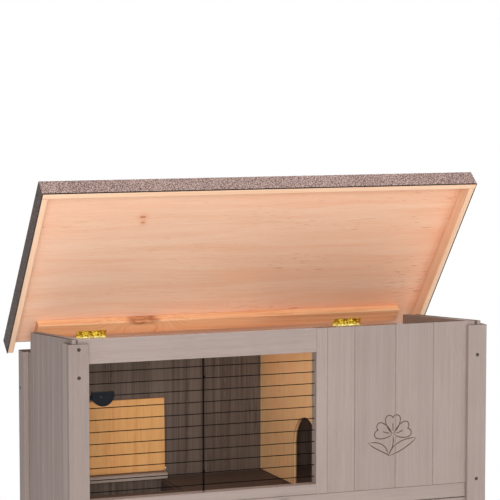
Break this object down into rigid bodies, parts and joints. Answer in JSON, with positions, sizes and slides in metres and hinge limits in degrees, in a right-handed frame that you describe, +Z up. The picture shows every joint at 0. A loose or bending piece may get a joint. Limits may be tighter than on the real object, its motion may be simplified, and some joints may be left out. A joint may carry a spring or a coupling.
{
  "type": "rabbit house",
  "caption": "Two-storey wooden rabbit house with a propped-open hinged roof, wire grille doors, nest room, pull-out tray and ramp.",
  "frame": {"origin": "on the ground, under the middle of the object's outline with the roof open as stored", "axes": "+X to the right seen from the front, +Y from the front to the back, +Z up"},
  "size_m": [1.1752, 0.5118, 1.3843],
  "materials": {
    "stained_timber": "semi-opaque grey-brown stain on softwood",
    "inside_timber": "matt dark stain inside",
    "plywood": "bare plywood",
    "pine": "bare planed pine",
    "roofing_felt": "fine mineral grit",
    "black_wire": "black coated wire",
    "black_plastic": "satin",
    "brass": "plated, slightly dull",
    "zinc_steel": "dark zinc plate"
  },
  "bodies": {
    "house": {"post_front_left": "stained_timber", "post_front_right": "stained_timber", "post_rear_left": "stained_timber", "post_rear_right": "stained_timber", "side_panel_left": "stained_timber", "side_panel_right": "stained_timber", "side_top_rail_left": "stained_timber", "side_top_rail_right": "stained_timber", "back_panel": "inside_timber", "hinge_rail": "stained_timber", "front_top_rail": "stained_timber", "front_bottom_rail": "stained_timber", "front_stile_left": "stained_timber", "front_stile_middle": "stained_timber", "front_board_1": "stained_timber", "front_board_2": "stained_timber", "front_board_3": "stained_timber", "front_board_4": "stained_timber", "nest_batten": "inside_timber", "divider": "plywood", "tray_guide_left": "inside_timber", "tray_guide_right": "inside_timber", "tray_bearer_hatch": "inside_timber", "tray_bearer_rear": "inside_timber", "flap_rail": "inside_timber", "flap_bracket_left": "zinc_steel", "flap_bracket_right": "zinc_steel", "ramp": "inside_timber", "lower_top_rail": "stained_timber", "base_rail_front": "stained_timber", "lower_stile_left": "stained_timber", "lower_stile_right": "stained_timber", "lower_stile_middle": "stained_timber", "base_rail_left": "stained_timber", "base_rail_right": "stained_timber", "upper_grille": "black_wire", "lower_grille_left": "black_wire", "lower_grille_right": "black_wire", "side_grille_left": "black_wire", "side_grille_right": "black_wire", "wall_hinge_leaf_left": "brass", "wall_hinge_leaf_right": "brass"},
    "roof": {"roof_cover": "roofing_felt", "roof_board": "plywood", "roof_strip_front": "pine", "roof_strip_left": "pine", "roof_strip_right": "pine", "roof_batten": "pine", "roof_hinge_leaf_left": "brass", "roof_hinge_leaf_right": "brass"},
    "tray": {"tray_floor": "inside_timber", "tray_front": "stained_timber", "tray_rim_left": "inside_timber", "tray_rim_right": "inside_timber", "tray_knob": "black_plastic"},
    "flap": {"hatch_flap": "plywood"},
    "day_room_door": {"upper_door": "black_wire"},
    "day_room_catch": {"upper_catch": "black_plastic"},
    "run_door": {"lower_door": "black_wire"},
    "run_catch": {"lower_catch": "black_plastic"}
  },
  "joints": [
    {"name": "roof_hinge", "type": "hinge", "parent": "house", "child": "roof", "pos_m": [0, 0.21108, 0.95474], "axis": [-1, 0, 0], "range_deg": [-47.1, 78]},
    {"name": "tray_slide", "type": "slide", "parent": "house", "child": "tray", "axis": [0, -1, 0], "range_m": [0, 0.36]},
    {"name": "flap_hinge", "type": "hinge", "parent": "house", "child": "flap", "pos_m": [0, 0.17198, 0.6022], "axis": [1, 0, 0], "range_deg": [0, 97]},
    {"name": "day_room_door_hinge", "type": "hinge", "parent": "house", "child": "day_room_door", "pos_m": [-0.20638, -0.22072, 0.783], "axis": [0, 0, 1], "range_deg": [0, 165]},
    {"name": "day_room_catch_slide", "type": "slide", "parent": "day_room_door", "child": "day_room_catch", "axis": [1, 0, 0], "range_m": [-0.007, 0.012]},
    {"name": "run_door_hinge", "type": "hinge", "parent": "house", "child": "run_door", "pos_m": [-0.20638, -0.22072, 0.284], "axis": [0, 0, 1], "range_deg": [0, 165]},
    {"name": "run_catch_slide", "type": "slide", "parent": "run_door", "child": "run_catch", "axis": [1, 0, 0], "range_m": [-0.007, 0.012]}
  ]
}
